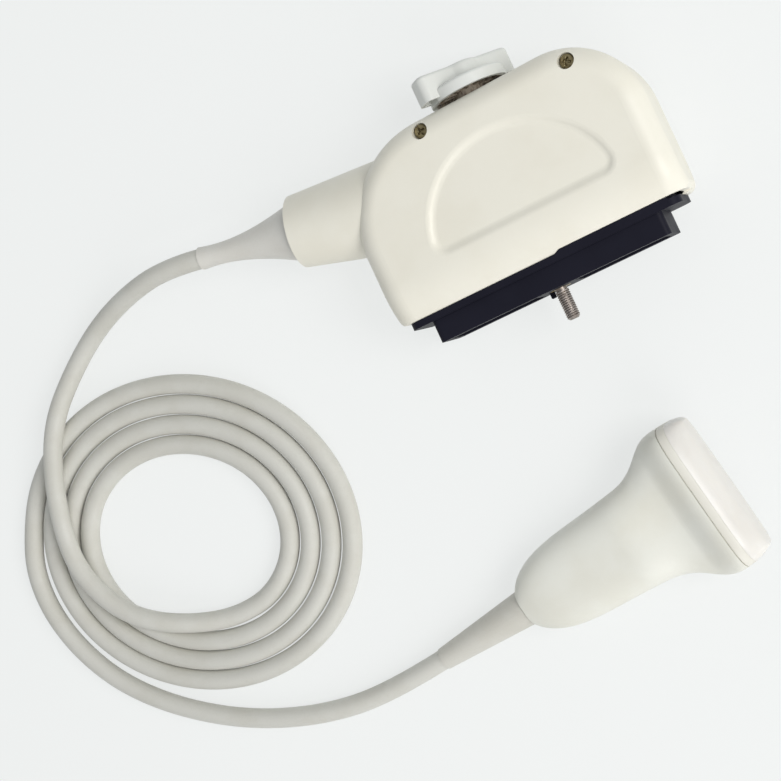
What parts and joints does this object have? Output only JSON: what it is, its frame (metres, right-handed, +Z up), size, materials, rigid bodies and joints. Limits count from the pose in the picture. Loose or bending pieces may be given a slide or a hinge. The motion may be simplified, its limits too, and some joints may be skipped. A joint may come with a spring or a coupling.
{
  "type": "ultrasound transducer probe",
  "caption": "Linear ultrasound probe with a coiled cable and a box connector that a turning knob and screw lock to the scanner.",
  "frame": {"origin": "middle of the connector's back cover face, which lies on the table (z = 0)", "axes": "+Z up, +Y from the plug face to the knob along the locking screw, +X along the connector away from its cable"},
  "size_m": [0.3143, 0.2021, 0.038],
  "materials": {
    "housing": "warm white moulding, satin with a soft gloss",
    "knob": "cool white moulding, satin",
    "plug": "dark blue-black filled moulding, matte",
    "contacts": "gold plated",
    "bushes": "plain turned brass",
    "lock_steel": "turned steel with a fine thread",
    "washer": "natural acetal",
    "small_steel": "nickel plated pressing",
    "boards": "green laminate",
    "coils": "dark moulded cores",
    "wires": "bundled fine conductors",
    "boots": "soft grey-white moulding, matte",
    "cable": "smooth grey-white jacket, satin",
    "handle": "satin white moulding",
    "gasket": "grey seal line",
    "nose": "smooth white moulding",
    "lens": "milky white silicone, satin",
    "matching": "filled resin",
    "array": "diced piezoelectric ceramic",
    "backing": "heavily filled resin",
    "array_frame": "machined",
    "flex": "amber film circuit"
  },
  "bodies": {
    "body": {"front_cover": "housing", "back_cover": "housing", "plug_base": "plug", "contact_inserts": "plug", "key_pin": "plug", "contacts": "contacts", "base_bush": "bushes", "knob_bush": "bushes", "cover_screws": "bushes", "thrust_washer": "washer", "cable_clamp": "small_steel", "clamp_screws": "small_steel", "shield_ferrule": "small_steel", "head_clamp": "small_steel", "front_board": "boards", "back_board": "boards", "head_board": "boards", "tuning_coils": "coils", "wire_bundle": "wires", "head_wires": "wires", "connector_boot": "boots", "probe_boot": "boots", "connector_tail": "cable", "connector_lead": "cable", "cable_coil": "cable", "probe_lead": "cable", "probe_tail": "cable", "handle_upper": "handle", "handle_lower": "handle", "nose_gasket": "gasket", "nose_ring": "nose", "lens": "lens", "matching_layer": "matching", "piezo_array": "array", "backing_block": "backing", "array_frame": "array_frame", "flex_circuits": "flex"},
    "lock": {"lock_knob": "knob", "lock_screw": "lock_steel", "retaining_clip": "lock_steel", "cross_pin": "lock_steel"}
  },
  "joints": [
    {"name": "lock_turn", "type": "hinge", "parent": "body", "child": "lock", "pos_m": [0, 0, 0.019], "axis": [0, 1, 0], "continuous": true}
  ]
}
